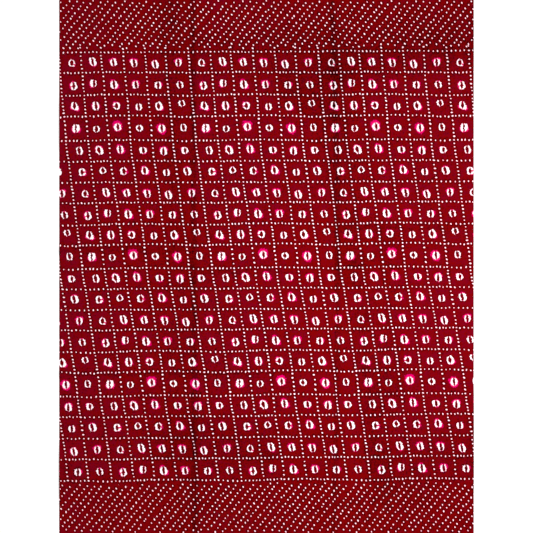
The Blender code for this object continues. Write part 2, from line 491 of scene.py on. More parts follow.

# %% [markdown]
# The chart of the eyes
#
# Each cell holds an eye: a small ring of undyed cloth, like two beans side by side with a slit
# between them. No two of the thirty-six in a repeat are alike. They are charted here, one row
# of the chart for each, in millimetres and degrees. The places, dx and dy, were measured in the
# photograph by a small program and rounded, and some were then moved by hand. The rest was read
# off enlarged views with a millimetre scale. Angles turn left from the right hand side. A taper
# makes the eye wider at its top, or at its foot if it is below 0. The hole is the wide part of
# the slit: if it is short for its eye, the slit all but closes beyond it. A bulge pushes the
# outline out on one side, a notch cuts the ring, a blush is the pink fringe where dye crept
# under the resist, and a halo is a blush all round.

# %% Eye chart
Eye = namedtuple(
    "Eye",
    "dx dy half_w half_h tilt taper hole_x hole_w hole_h "
    "bulge_at bulge notch_at blush_at blush blush2_at blush2 halo",
)
NO_NOTCH = -1
EYES = (
    (
        Eye(4.5, -1.5, 7.9, 8.8, 0, -0.26, 0.2, 2.5, 6.0, 315, 0.8, 325, 110, 0.8, 320, 0.8, 0.0),
        Eye(3, 1.4, 7.9, 11.0, 12, 0, 0.0, 1.3, 7.6, 330, 1.4, NO_NOTCH, 200, 1.0, 285, 1.8, 0.2),
        Eye(1, -0.3, 8.0, 10.0, 12, 0.1, -0.5, 1.2, 7.8, 340, 0.8, NO_NOTCH, 145, 2.2, 60, 1.6, 0.4),
        Eye(-1, -2.5, 7.8, 10.0, 8, 0.25, 0.4, 1.6, 10.0, 140, 1.2, NO_NOTCH, 140, 2.8, 58, 2.6, 0.3),
        Eye(-2.3, -5, 7.9, 10.2, 12, 0, -0.4, 1.2, 8.0, 330, 1.0, NO_NOTCH, 50, 1.4, 170, 1.4, 0.3),
        Eye(1.5, -1.8, 7.8, 9.8, 4, 0.2, -0.4, 1.8, 8.2, 40, 0.4, NO_NOTCH, 140, 2.4, 50, 2.2, 0.6),
    ),
    (
        Eye(5, -3.0, 8.2, 10.5, 4, -0.1, -0.4, 1.8, 7.4, 160, 0.6, 190, 125, 1.6, 190, 2.0, 0.2),
        Eye(0.3, 1.8, 8.2, 9.5, 0, 0.1, 1.8, 1.4, 7.5, 225, 0.4, NO_NOTCH, 225, 1.8, 180, 1.6, 0.2),
        Eye(-1.8, 0.2, 9.0, 10.8, 6, -0.2, 0.2, 1.3, 8.2, 330, 0.8, NO_NOTCH, 115, 2.8, 325, 3.0, 0.3),
        Eye(-1.5, -1.0, 7.8, 10.1, 4, 0.1, 0.8, 1.6, 7.9, 220, 0.4, NO_NOTCH, 143, 3.6, 25, 2.8, 0.5),
        Eye(0.5, -1.8, 8.3, 9.7, 5, 0, -0.2, 1.6, 8.0, 160, 0.5, NO_NOTCH, 20, 1.4, 0, 1.0, 0.1),
        Eye(1, -1.5, 7.9, 9.5, 10, 0, 0.0, 2.2, 8.0, 340, 0.6, NO_NOTCH, 100, 0.8, 0, 0.0, 0.0),
    ),
    (
        Eye(2, 1.5, 8.2, 9.2, 0, -0.3, 0.2, 1.7, 6.6, 312, 2.2, NO_NOTCH, 315, 2.8, 215, 2.6, 0.2),
        Eye(1.6, 1.3, 8.7, 10.9, 8, -0.05, 0.6, 1.6, 9.2, 110, 0.5, NO_NOTCH, 180, 2.0, 350, 1.8, 0.1),
        Eye(-0.2, 1.0, 8.5, 9.5, 4, 0.05, 0.0, 2.7, 5.8, 135, 0.6, 184, 140, 1.8, 60, 1.2, 0.2),
        Eye(1.1, -1.5, 7.9, 9.2, 6, 0, -0.2, 1.3, 7.6, 150, 0.4, NO_NOTCH, 180, 0.8, 0, 0.0, 0.0),
        Eye(-2, 0.3, 8.7, 10.5, 8, -0.1, -0.8, 1.7, 6.6, 330, 0.8, NO_NOTCH, 345, 2.0, 300, 1.2, 0.2),
        Eye(0.7, 6.0, 7.9, 8.2, 15, 0.1, 0.0, 1.9, 6.8, 150, 1.0, NO_NOTCH, 0, 0.0, 0, 0.0, 0.1),
    ),
    (
        Eye(1, 0, 9.0, 10.6, 2, -0.05, -0.6, 0.4, 9.0, 40, 0.4, NO_NOTCH, 207, 2.4, 333, 2.6, 0.4),
        Eye(-1.8, -1.8, 8.1, 8.5, 0, 0.1, 0.0, 2.4, 6.3, 340, 0.5, NO_NOTCH, 0, 0.0, 0, 0.0, 0.0),
        Eye(-2.9, 3.0, 9.0, 9.9, 8, 0, 0.8, 1.6, 7.0, 160, 0.4, NO_NOTCH, 124, 4.4, 56, 3.4, 1.9),
        Eye(-2.3, 0.3, 8.6, 8.2, 4, 0, -0.4, 2.1, 5.0, 340, 0.5, NO_NOTCH, 180, 0.8, 0, 0.0, 0.0),
        Eye(-0.8, -0.8, 8.7, 10.3, 6, 0, 0.2, 1.1, 7.6, 200, 0.3, NO_NOTCH, 155, 3.4, 290, 2.8, 1.8),
        Eye(-0.4, 1, 8.0, 9.6, 11, 0, -0.2, 2.1, 7.0, 0, 0.0, NO_NOTCH, 0, 0.0, 0, 0.0, 0.1),
    ),
    (
        Eye(3.5, -1.5, 7.9, 10.0, 6, 0, -0.8, 2.2, 7.7, 320, 0.5, NO_NOTCH, 0, 0.0, 0, 0.0, 0.1),
        Eye(-0.6, 0.2, 8.7, 10.4, 15, -0.1, -1.0, 2.2, 6.8, 310, 1.2, NO_NOTCH, 160, 1.8, 45, 1.8, 0.3),
        Eye(-2, 1.5, 8.2, 10.2, 6, 0, -0.6, 1.4, 8.0, 330, 0.8, NO_NOTCH, 120, 2.0, 335, 2.8, 1.0),
        Eye(0.9, -1, 9.1, 8.5, 10, 0, 0.4, 1.6, 6.5, 150, 0.6, NO_NOTCH, 290, 1.8, 60, 1.0, 0.1),
        Eye(-1.5, -3.0, 8.5, 10.4, 4, 0, -0.8, 1.3, 8.6, 320, 0.5, NO_NOTCH, 155, 2.6, 50, 2.8, 0.3),
        Eye(-2.6, -1.7, 8.3, 8.6, 4, 0, 1.0, 1.8, 5.6, 160, 0.6, NO_NOTCH, 150, 1.6, 0, 0.0, 0.3),
    ),
    (
        Eye(4, -1, 8.2, 9.9, 4, 0, -0.4, 1.9, 6.7, 340, 0.8, 2, 0, 1.8, 300, 1.2, 0.2),
        Eye(1.7, 2.4, 7.9, 8.6, 4, -0.12, 0.4, 2.7, 5.6, 350, 0.5, NO_NOTCH, 110, 1.0, 0, 0.6, 0.0),
        Eye(-0.5, 0.4, 8.4, 9.8, 4, 0, 0.9, 1.7, 7.0, 150, 0.4, 354, 340, 1.6, 20, 1.4, 0.2),
        Eye(-1.2, 2.2, 8.7, 9.4, 10, -0.22, -0.6, 2.0, 6.8, 318, 0.9, NO_NOTCH, 120, 2.6, 325, 2.9, 0.5),
        Eye(-1, -3, 8.2, 8.8, 2, 0, 0.2, 1.2, 7.0, 150, 0.4, NO_NOTCH, 15, 1.8, 0, 0.0, 0.1),
        Eye(-2.6, -0.2, 8.7, 10.4, 13, 0, -0.9, 2.1, 7.9, 330, 0.8, NO_NOTCH, 100, 1.6, 0, 0.0, 0.1),
    ),
)
eye_chart = np.array(EYES, dtype=float)
print("eyes charted", eye_chart.shape[:2])

# %% [markdown]
# Eyes on the sheet
#
# The material needs to know, anywhere in a cell, which eye it is drawing and where that eye
# sits. So every face of the sheet takes the sizes of the eye in whose cell its middle lies. A
# value that belongs to a face doesn't blend into the next one, so each eye ends cleanly at the
# edge of its cell. A direction with a strength is one vector, and three numbers share each name.

# %% Eye attributes
MM = 0.001
face_middles = sheet_points[sheet_quads].mean(axis=1)
face_u, face_v = drawn_lattice(face_middles[:, 0], face_middles[:, 1])
cell_column = np.floor(face_u)
cell_row = np.floor(face_v)
row_in_repeat = cell_row.astype(int) % REPEAT_CELLS
column_in_repeat = cell_column.astype(int) % REPEAT_CELLS


def on_faces(column):
    """One column of the chart, spread over the faces by their cells."""
    return eye_chart[row_in_repeat, column_in_repeat, Eye._fields.index(column)]


def pointing(angle_column, length):
    """The two parts of a vector with that length, at the angle from the chart."""
    angle = np.radians(on_faces(angle_column))
    return length * np.cos(angle), length * np.sin(angle)


seat_x, seat_y = place_in_print(cell_column, cell_row)
notched = (on_faces("notch_at") != NO_NOTCH).astype(float)
no_face_value = 0.0 * face_u
FACE_ATTRIBUTES = {
    "eye_seat": (
        seat_x + on_faces("dx") * MM,
        seat_y + on_faces("dy") * MM,
        np.radians(on_faces("tilt")),
    ),
    "eye_size": (
        on_faces("half_w") * MM,
        on_faces("half_h") * MM,
        row_in_repeat * REPEAT_CELLS + column_in_repeat,
    ),
    "eye_hole": tuple(on_faces(size) * MM for size in ("hole_x", "hole_w", "hole_h")),
    "eye_bulge": (*pointing("bulge_at", on_faces("bulge") * MM), on_faces("halo") * MM),
    "eye_blush": (*pointing("blush_at", on_faces("blush") * MM), no_face_value),
    "eye_blush2": (*pointing("blush2_at", on_faces("blush2") * MM), no_face_value),
    "eye_notch": (*pointing("notch_at", notched), on_faces("taper")),
}
notches = sum(eye.notch_at != NO_NOTCH for eye_row in EYES for eye in eye_row)
print("faces", len(face_middles), "eyes with a notch", notches)

# %% [markdown]
# Diagonal rows of the borders
#
# Above and below the lattice, the cloth is filled with slanting rows of dots. The next dot of a
# row is 9.3 mm on, and the next row's dot lies 13.6 mm off, almost square to the row. Two more
# coordinates serve them: one counts rows, the other counts dots along a row. The border has its
# own repeat, eight cells long, in which the rows close up and open again. So a chart gives, in
# hundredths, how far rows and dots are ahead at each cell of it, first above and then below.
# Its values are a small program's measurements of the photograph, rounded. After 22 rows the
# same dots come again, 28 dots further along the row.

# %% Border coordinates
NEXT_ROW = (0.009935, -0.009245)
NEXT_DOT = (0.005840, 0.007258)
BORDER_CELLS = 8
BORDER_ROWS = 22
BORDER_DOTS_ON = 28
BORDER_CHART_START = -0.430
ROWS_ABOVE = (20, 14, 14, 12, 23, 39, 28, 19)
DOTS_ABOVE = (-27, -23, -30, -28, -34, -38, -27, -29)
ROWS_BELOW = (43, 44, 48, 41, 44, 42, 48, 50)
DOTS_BELOW = (15, 4, 3, 12, 16, 35, 25, 11)


def charted_ahead(x, chart):
    """The chart's value at x, as a share of a step, with straight runs between its places."""
    places = BORDER_CHART_START + COLUMN_STEP * np.arange(BORDER_CELLS)
    return HUNDREDTH * np.interp(x, places, chart, period=BORDER_CELLS * COLUMN_STEP)


def border_rows(x, y):
    """Rows and dots counted at x, y: the matrix of the two steps turned round, plus the chart."""
    to_steps = np.linalg.inv(np.transpose((NEXT_ROW, NEXT_DOT)))
    rows_ahead = np.where(y > 0.0, charted_ahead(x, ROWS_ABOVE), charted_ahead(x, ROWS_BELOW))
    dots_ahead = np.where(y > 0.0, charted_ahead(x, DOTS_ABOVE), charted_ahead(x, DOTS_BELOW))
    rows = to_steps[0, 0] * x + to_steps[0, 1] * y + rows_ahead
    dots = to_steps[1, 0] * x + to_steps[1, 1] * y + dots_ahead
    return rows, dots


border_row, border_dot = border_rows(plan_x, plan_y)
print("border rows", border_row.min().round(1), "to", border_row.max().round(1))

# %% [markdown]
# Painted shade of the cloth
#
# Along each pressed crease the colour is painted darker than the groove alone shades it:
# painted shade. Wide bands are painted softly darker or lighter as well, painted shade and
# painted light where the cloth isn't quite flat. Their lines and widths were laid by hand, but
# their strengths come from a small program, which fitted them to how bright the ground is in
# the photograph and in a render. A few were changed afterwards. The dye also differs, bluer in
# some places than in others, and it is made less blue where shade is painted. All these change
# slowly, so they are worked out on the grid and carried as an attribute.

# %% Painted shade attribute
CREASE_SHADE = 0.28
CREASE_SHADE_REACH = 0.0095
CREASE_SHADE_LEFT = 0.0018
CREASE_SHADE_LIFT = 0.0034
CROSS_SHADE = 0.13
CROSS_SHADE_LIFT = 0.0014

# Bands of painted shade round the line from a to b, or of painted light where the loss is below 0
SoftShade = namedtuple("SoftShade", "x_a y_a x_b y_b reach loss")
SOFT_SHADES = [SoftShade(*row) for row in (
    (-0.212, 0.595, -0.208, 0.170, 0.032, 0.12),
    (-0.220, 0.590, -0.220, 0.500, 0.050, 0.07),
    (-0.457, 0.560, -0.110, 0.560, 0.120, -0.04),
    (0.060, 0.520, 0.457, 0.560, 0.065, 0.06),
    (-0.150, 0.500, 0.150, 0.500, 0.050, 0.09),
    (0.175, 0.448, 0.457, 0.495, 0.080, 0.18),
    (-0.110, 0.450, 0.090, 0.440, 0.070, 0.07),
    (0.178, 0.400, 0.200, 0.350, 0.050, 0.03),
    (0.060, 0.410, 0.140, 0.420, 0.075, 0.11),
    (0.148, 0.430, 0.150, 0.180, 0.055, 0.09),
    (0.070, 0.370, 0.160, 0.320, 0.055, 0.12),
    (-0.457, 0.420, -0.457, 0.270, 0.060, -0.08),
    (0.457, 0.300, 0.457, -0.280, 0.080, -0.08),
    (0.190, 0.250, 0.185, -0.020, 0.045, 0.08),
    (0.270, 0.110, 0.330, 0.100, 0.050, -0.08),
    (-0.200, 0.150, -0.200, 0.060, 0.040, 0.06),
    (0.265, 0.080, 0.275, -0.300, 0.050, 0.11),
    (0.175, 0.060, 0.180, -0.050, 0.045, 0.06),
    (0.205, 0.010, 0.215, -0.110, 0.040, 0.13),
    (0.080, -0.020, 0.360, -0.120, 0.180, -0.08),
    (-0.180, 0.000, -0.170, -0.360, 0.130, 0.06),
    (0.160, -0.090, 0.196, -0.490, 0.028, -0.07),
    (0.205, -0.120, 0.258, -0.515, 0.034, 0.12),
    (0.110, -0.120, 0.125, -0.320, 0.055, -0.08),
    (0.455, -0.300, 0.455, -0.460, 0.024, 0.08),
    (-0.200, -0.395, -0.030, -0.410, 0.100, 0.10),
    (0.000, -0.414, 0.006, -0.418, 0.022, 0.14),
    (0.260, -0.420, 0.457, -0.420, 0.080, 0.09),
    (-0.457, -0.450, -0.430, -0.448, 0.032, 0.08),
    (-0.155, -0.480, -0.150, -0.530, 0.050, 0.08),
    (0.300, -0.490, 0.320, -0.500, 0.060, 0.08),
    (-0.457, -0.570, -0.280, -0.570, 0.090, -0.10),
)]

# Places along X and along Y, and how far the dye leans to blue at each
TONE_X = (-0.45, -0.17, -0.14, -0.03, 0.12, 0.17, 0.30, 0.45)
TONE_ALONG_X = (0.90, -0.15, 0.45, 0.40, -0.10, -0.10, 0.30, 0.35)
TONE_Y = (-0.50, -0.45, -0.25, -0.06, 0.0, 0.09, 0.15, 0.42, 0.50)
TONE_ALONG_Y = (-0.60, -0.15, 0.05, 0.05, -0.2, -0.2, 0.1, 0.1, -0.25)
TONE_LOST_IN_SHADE = 1.5
TONE_WAVES = 0.15
TONE_SEED = 31
TONE_LENGTH = 0.45


def light_lost(x, y):
    """Share of light lost at x, y, which is painted into the colour as shade.

    A crease takes a narrow mound of light, as strong as it is high, and a cross crease takes
    the cube of its own shape. The painted bands add up, and take their share of what is left.
    """
    lost = 0.0 * x
    for crease in FOLD_CREASES:
        lift = along_width(y, crease.lift_low, crease.lift_mid, crease.lift_high)
        distance = np.abs(x - crease_x(crease, y) + CREASE_SHADE_LEFT)
        lost += CREASE_SHADE * lift / CREASE_SHADE_LIFT * mound(distance / CREASE_SHADE_REACH)
    for crease in CROSS_CREASES:
        strength = CROSS_SHADE * crease.lift / CROSS_SHADE_LIFT
        lost += strength * cross_crease_shape(crease, x, y) ** 3
    bands = sum(band.loss * along_line(band, x, y) for band in SOFT_SHADES)
    return lost + bands - lost * bands


# Painted shade and painted light, worked out on the grid
shade = light_lost(plan_x, plan_y)
tone_drift = np.interp(plan_x, TONE_X, TONE_ALONG_X) + np.interp(plan_y, TONE_Y, TONE_ALONG_Y)
tone_waves = TONE_WAVES * waves(plan_x, plan_y, TONE_SEED, TONE_LENGTH)
# The dye's blue tone, with blue taken out where shade is painted
crimson = tone_drift - TONE_LOST_IN_SHADE * shade + tone_waves
print("most light lost", shade.max().round(2))

# %% [markdown]
# Attributes on the mesh
#
# What changes smoothly is stored on points, and what belongs to one eye on faces. The underside
# carries the same values as the printed face, because such cloth is printed from both sides and
# the pattern meets itself in the thread.

# %% Store the attributes
no_value = 0.0 * plan_x
POINT_ATTRIBUTES = {
    "lattice": (drawn_u, drawn_v, lean_per_row(lattice_v)),
    "border_rows": (border_row, border_dot, no_value),
    # Painted shade, and the dye's blue tone
    "shade": (shade, crimson, no_value),
}


def store_attributes(mesh, attributes, domain, copies):
    """Writes each attribute, as often over as there are copies of the grid."""
    for name, numbers in attributes.items():
        layer = mesh.attributes.new(name, "FLOAT_VECTOR", domain)
        values = np.stack(numbers, axis=-1).reshape(-1, 3)
        layer.data.foreach_set("vector", np.tile(values, (copies, 1)).astype(np.float32).ravel())


store_attributes(cloth_mesh, POINT_ATTRIBUTES, "POINT", 2)
store_attributes(cloth_mesh, FACE_ATTRIBUTES, "FACE", 1)
print("attributes", ", ".join([*POINT_ATTRIBUTES, *FACE_ATTRIBUTES]))

# %% [markdown]
# One map for both sides
#
# The exported model carries its colours in one square map. The printed face fills that square,
# and the underside lies on the same place in it, as if seen through the cloth. The rim takes a
# strip about a millimetre wide at the edge of the square. The name tells the export to keep it.

# %% Export map
RIM_STRIP = 0.0012


def map_place(x, y):
    """x, y as shares of the cloth's length and width, both from 0 to 1."""
    return np.stack([x / CUT_LENGTH + 0.5, y / CLOTH_WIDTH + 0.5], axis=-1)


def make_export_map(mesh):
    """The place of every corner of every face, with the rim's lower corners moved a little inwards."""
    corners = np.empty(len(mesh.loops), dtype=np.int32)
    mesh.loops.foreach_get("vertex_index", corners)
    points = np.empty(len(mesh.vertices) * 3, dtype=np.float32)
    mesh.vertices.foreach_get("co", points)
    points = points.reshape(-1, 3)[corners]
    places = map_place(points[:, 0].astype(float), points[:, 1].astype(float))
    side_faces = (ROWS - 1) * (COLUMNS - 1)
    rim = slice(4 * side_faces, len(corners) - 4 * side_faces)
    low_corner = corners[rim] < ROWS * COLUMNS
    inward = 0.5 + (places[rim] - 0.5) * (1.0 - 2.0 * RIM_STRIP)
    places[rim] = np.where(low_corner[:, None], inward, places[rim])
    layer = mesh.uv_layers.new(name="OFBake")
    layer.data.foreach_set("uv", np.clip(places, 0.0, 1.0).astype(np.float32).ravel())


make_export_map(cloth_mesh)
print("map layers", len(cloth_mesh.uv_layers))

# %% [markdown]
# Sums as nodes
#
# A printed pattern is a great many small sums, and a node for each makes a long script. Here a
# Field stands for a number that varies over the cloth. Adding or multiplying fields adds Math
# nodes to the material, so the pattern can be written as ordinary sums.

# %% Fields
class Field:
    """The output of a node. Sums with fields and plain numbers add Math nodes to the tree."""

    def __init__(self, socket):
        self.socket = socket

    def __add__(self, other):
        return calc("ADD", self, other)

    def __sub__(self, other):
        return calc("SUBTRACT", self, other)

    def __rsub__(self, other):
        return calc("SUBTRACT", other, self)

    def __mul__(self, other):
        return calc("MULTIPLY", self, other)

    def __truediv__(self, other):
        return calc("DIVIDE", self, other)

    __radd__ = __add__
    __rmul__ = __mul__


def plug(value, socket):
    """Links a field to a socket, or sets the socket to a plain value."""
    if isinstance(value, Field):
        tree.links.new(value.socket, socket)
    else:
        socket.default_value = value


def calc(operation, *values):
    """One Math node."""
    node = tree.nodes.new("ShaderNodeMath")
    node.operation = operation
    for value, socket in zip(values, node.inputs):
        plug(value, socket)
    return Field(node.outputs["Value"])


def new_material(name):
    """A material with one Principled shader, its node tree and the shader."""
    material = bpy.data.materials.new(name)
    material.use_nodes = True
    return material, material.node_tree, material.node_tree.nodes["Principled BSDF"]


cotton, tree, cotton_shader = new_material("printed_cotton")
print("material", cotton.name)

# %% [markdown]
# Tools for the pattern
#
# Besides sums, the pattern needs a few other nodes: the lower or higher of two numbers, rounding,
# a smooth step, chance, clouds and a mix of two colours. Each gets a short name, so that the
# print reads like a recipe. They work on Object coordinates and on the sheet's own attributes,
# so the print stays on the cloth from wherever it is seen.

# %% Fields from other nodes
lowest = partial(calc, "MINIMUM")
highest = partial(calc, "MAXIMUM")
less = partial(calc, "LESS_THAN")
more = partial(calc, "GREATER_THAN")
size_of = partial(calc, "ABSOLUTE")
root = partial(calc, "SQRT")
power = partial(calc, "POWER")
cosine_of = partial(calc, "COSINE")
sine_of = partial(calc, "SINE")
nearest_whole = partial(calc, "ROUND")
whole_below = partial(calc, "FLOOR")
after_point = partial(calc, "FRACT")

# What is left after taking away whole spans: the place within a repeat
over = partial(calc, "FLOORED_MODULO")


def ramp(field, start, end):
    """0 up to start, 1 from end on, and a smooth S between."""
    node = tree.nodes.new("ShaderNodeMapRange")
    node.interpolation_type = "SMOOTHSTEP"
    plug(field, node.inputs["Value"])
    plug(start, node.inputs["From Min"])
    plug(end, node.inputs["From Max"])
    return Field(node.outputs["Result"])


def inside(edge, softness):
    """1 inside an edge, 0 outside it, with a smooth S as wide as the softness on both sides."""
    return 1.0 - ramp(edge, -softness, softness)


def join(x, y, z=0.0):
    """Three fields as one vector."""
    node = tree.nodes.new("ShaderNodeCombineXYZ")
    for value, socket in zip((x, y, z), node.inputs):
        plug(value, socket)
    return Field(node.outputs["Vector"])


def split(vector):
    """The three numbers in a vector or colour."""
    node = tree.nodes.new("ShaderNodeSeparateXYZ")
    plug(vector, node.inputs["Vector"])
    return [Field(socket) for socket in node.outputs]


def stored(name):
    """The three numbers of an attribute of the sheet."""
    node = tree.nodes.new("ShaderNodeAttribute")
    node.attribute_name = name
    return split(Field(node.outputs["Vector"]))


def chance(x, y, z):
    """Three numbers from 0 to 1 that look random, always the same for the same x, y and z."""
    node = tree.nodes.new("ShaderNodeTexWhiteNoise")
    plug(join(x, y, z), node.inputs["Vector"])
    return split(Field(node.outputs["Color"]))


def redraw(number, times):
    """Another such number out of one from chance: what is left of its multiple after the point."""
    return after_point(number * times)


def cloudy(vector, scale, detail=1.0):
    """Soft clouds of about 0.2 to 0.8, scale of them to a metre. Gives three separate fields."""
    node = tree.nodes.new("ShaderNodeTexNoise")
    plug(vector, node.inputs["Vector"])
    node.inputs["Scale"].default_value = scale
    node.inputs["Detail"].default_value = detail
    return split(Field(node.outputs["Color"]))


def mix(share, first, second):
    """The first colour where share is 0, the second where it is 1."""
    node = tree.nodes.new("ShaderNodeMix")
    node.data_type = "RGBA"
    plug(share, node.inputs[0])
    plug(first, node.inputs[6])
    plug(second, node.inputs[7])
    return Field(node.outputs[2])


here = Field(tree.nodes.new("ShaderNodeTexCoord").outputs["Object"])
here_x, here_y = split(here)[:2]
u, v, column_lean = stored("lattice")
print("nodes so far", len(tree.nodes))

# %% [markdown]
# One dot of resist
#
# Each dot was a touch of wax or paste, so no two are quite alike: they sit a little off their
# places and differ in size, and most are ovals that lie across their line, each turned a
# little. Chance picks all this for each dot, from its number within the repeat, so that the
# same dot comes again in the next repeat. Each kind of dot draws its chances apart.

# %% A dot
Dots = namedtuple("Dots", "draw radius jitter facing")
UPRIGHT_DOTS = Dots(draw=1.0, radius=0.00123, jitter=0.0008, facing=radians(-18.0))
LEVEL_DOTS = Dots(draw=2.0, radius=0.00115, jitter=0.0008, facing=radians(100.0))
BORDER_DOTS = Dots(draw=3.0, radius=0.00117, jitter=0.0012, facing=radians(118.0))
DOT_SPREAD = 0.38
LEAST_DOT = 1.0 - 0.6 * DOT_SPREAD
DOT_STRETCH = 0.36
DOT_STRETCH_SPREAD = 0.30
DOT_TURN = 0.9
STRETCH_REDRAW = 57.0
SIZE_REDRAW = 43.0


def off_even(number, reach):
    """Chance's number as a step to either side of the even place, up to the reach."""
    return (number - 0.5) * (2.0 * reach)


def dot_edge(x, y, line, place, dots):
    """Metres to the edge of the dot whose even place is at x = 0, y = 0, and less than 0 inside it.

    The squared distance from the dot's middle, less a share of the square of its part along
    the dot's own direction, is a circle drawn out into an oval. The radius, made larger or
    smaller by chance, is taken from its root. Facing is the angle that the ovals keep near to.
    """
    first, second, third = chance(line, place, dots.draw)
    x = x - off_even(first, dots.jitter)
    y = y - off_even(second, dots.jitter)
    turn = (third - 0.5) * DOT_TURN + dots.facing
    along = x * cosine_of(turn) + y * sine_of(turn)
    stretch = redraw(first, STRETCH_REDRAW) * DOT_STRETCH_SPREAD + DOT_STRETCH
    squared = x * x + y * y - stretch * along * along
    size = redraw(second, SIZE_REDRAW) * DOT_SPREAD + LEAST_DOT
    return root(squared) - size * dots.radius


print("dot radii", [dots.radius / MM for dots in (UPRIGHT_DOTS, LEVEL_DOTS, BORDER_DOTS)], "mm")

# %% [markdown]
# Dotted lines of the lattice
#
# A point finds its nearest line by rounding u or v. Between two crossings a line has
# five or six dots, by chance, and the nearest of these is found by rounding too. What is left
# over after rounding is how far the point is from the dot. The dot on a crossing belongs to
# the upright line, so the level line leaves it out.

# %% Upright and level lines
Lines = namedtuple("Lines", "draw share_with_six dots")
UPRIGHT_LINES = Lines(draw=4.0, share_with_six=0.5, dots=UPRIGHT_DOTS)
LEVEL_LINES = Lines(draw=5.0, share_with_six=0.33, dots=LEVEL_DOTS)
FEWEST_DOTS = 5.0
NUMBERS_PER_CELL = 10.0
FIELD_MIDDLE = 0.5 * LAST_LINE

# The upright lines run from a little above the top line to just past the bottom one
UPRIGHT_MIDDLE = 9.9
UPRIGHT_HALF = 10.12

# Metres that put a dot out of reach wherever it isn't wanted
FAR = 1.0


def in_metres(columns, rows):
    """A small step in columns and rows as x and y: a step down the rows also moves along the lean."""
    return columns * COLUMN_STEP + rows * column_lean, rows * (-MEAN_ROW_STEP)


def beyond(field, middle, half):
    """1 where the field is further than half from the middle, 0 elsewhere."""
    return more(size_of(field - middle), half)


def dot_on_line(line_in_repeat, along, lines):
    """The nearest dot along a line: its number, its place between two crossings and the step to it."""
    cell = whole_below(along)
    pick = chance(line_in_repeat, over(cell, REPEAT_CELLS), lines.draw)[0]
    dots = less(pick, lines.share_with_six) + FEWEST_DOTS
    place = nearest_whole((along - cell) * dots)
    past_end = more(place, dots - 0.5)
    step = along - cell - place / dots
    place = place * (1.0 - past_end)
    number = over(cell + past_end, REPEAT_CELLS) * NUMBERS_PER_CELL + place
    return number, place, step


def upright_edge():
    """Distance to the nearest dot of the upright lines, which overrun the top line by one dot."""
    line = nearest_whole(u)
    line_in_repeat = over(line, REPEAT_CELLS)
    number, unused_place, step = dot_on_line(line_in_repeat, v, UPRIGHT_LINES)
    x, y = in_metres(u - line, step)
    edge = dot_edge(x, y, line_in_repeat, number, UPRIGHT_LINES.dots)
    return edge + beyond(v - step, UPRIGHT_MIDDLE, UPRIGHT_HALF) * FAR


def level_edge():
    """Distance to the nearest dot of the level lines, from the top line to the bottom one."""
    line = nearest_whole(v)
    line_in_repeat = over(line, REPEAT_CELLS)
    number, place, step = dot_on_line(line_in_repeat, u, LEVEL_LINES)
    x, y = in_metres(step, v - line)
    edge = dot_edge(x, y, line_in_repeat, number, LEVEL_LINES.dots)
    at_crossing = less(place, 0.5)
    return edge + (at_crossing + beyond(line, FIELD_MIDDLE, FIELD_MIDDLE + 0.5)) * FAR


line_edge = lowest(upright_edge(), level_edge())
print("nodes so far", len(tree.nodes))

# %% [markdown]
# Dots of the borders
#
# The same rounding, in the slanted coordinates. No row is ruled, so each lies a little off its
# even place and starts a little early or late. A dot belongs to the border if its
# middle is outside the lattice, and it has to keep clear of the selvedge, so no dot is cut.

# %% Border dots
ROW_DRAW = 6.0
BORDER_DOT_DRAW = 7.0
BORDER_GAP = 0.17
ROW_OFF = 0.10
ROW_LATE = 0.20
DOT_LATE = 0.10
BARE_SELVEDGE = 0.0085
rows_counted, dots_counted = stored("border_rows")[:2]


def border_edge():
    """Distance to the nearest dot of the slanting rows, or far where there are none."""
    row = nearest_whole(rows_counted)
    repeats = whole_below(row / BORDER_ROWS)
    line = over(row, BORDER_ROWS)
    row_off, row_late = chance(line, 0.0, ROW_DRAW)[:2]
    slip_row = rows_counted - row - off_even(row_off, ROW_OFF)
    dots_in_row = dots_counted - off_even(row_late, ROW_LATE)
    place = nearest_whole(dots_in_row)
    place_in_repeat = place - repeats * BORDER_DOTS_ON
    dot_late = chance(line, place_in_repeat, BORDER_DOT_DRAW)[0]
    slip_dot = dots_in_row - place - off_even(dot_late, DOT_LATE)
    x = slip_row * NEXT_ROW[0] + slip_dot * NEXT_DOT[0]
    y = slip_row * NEXT_ROW[1] + slip_dot * NEXT_DOT[1]
    edge = dot_edge(x, y, line, place_in_repeat, BORDER_DOTS)
    dot_v = v + y / MEAN_ROW_STEP
    in_field = less(size_of(dot_v - FIELD_MIDDLE), FIELD_MIDDLE + BORDER_GAP)
    on_selvedge = more(size_of(here_y - y), HALF_WIDTH - BARE_SELVEDGE)
    return edge + (in_field + on_selvedge) * FAR


dots_edge = lowest(line_edge, border_edge())
print("nodes so far", len(tree.nodes))

# %% [markdown]
# The eyes
#
# Around its seat, an eye is drawn in true millimetres, from its line of the chart. All its
# edges are ragged like resist that has cracked a little: soft clouds shake the place before
# anything is measured from it, other clouds for each eye. A bulge or a fringe lies to one side
# only, so a lobe is needed, a value that is greatest in one direction and fades to both sides.

# %% Place in an eye
RAGGED_SIZE = 0.0027
RAGGED_SCALE = 290.0
RAGGED_DETAIL = 1.5
CLOUDS_APART = 0.137
TINY = 0.000001
eye_seat_x, eye_seat_y, tilt = stored("eye_seat")
half_w, half_h, eye_number = stored("eye_size")
hole_x, hole_w, hole_h = stored("eye_hole")


def lobe(direction, place, sharpness):
    """The length of the direction's vector where the place lies that way, fading to the sides.

    The cosine of the angle between the two, raised to a power, gives the fading.
    """
    direction_x, direction_y = direction
    x, y, reach = place
    strength = root(direction_x * direction_x + direction_y * direction_y)
    cosine = (x * direction_x + y * direction_y) / (reach * strength + TINY * TINY)
    return strength * power(highest(cosine, 0.0), sharpness)


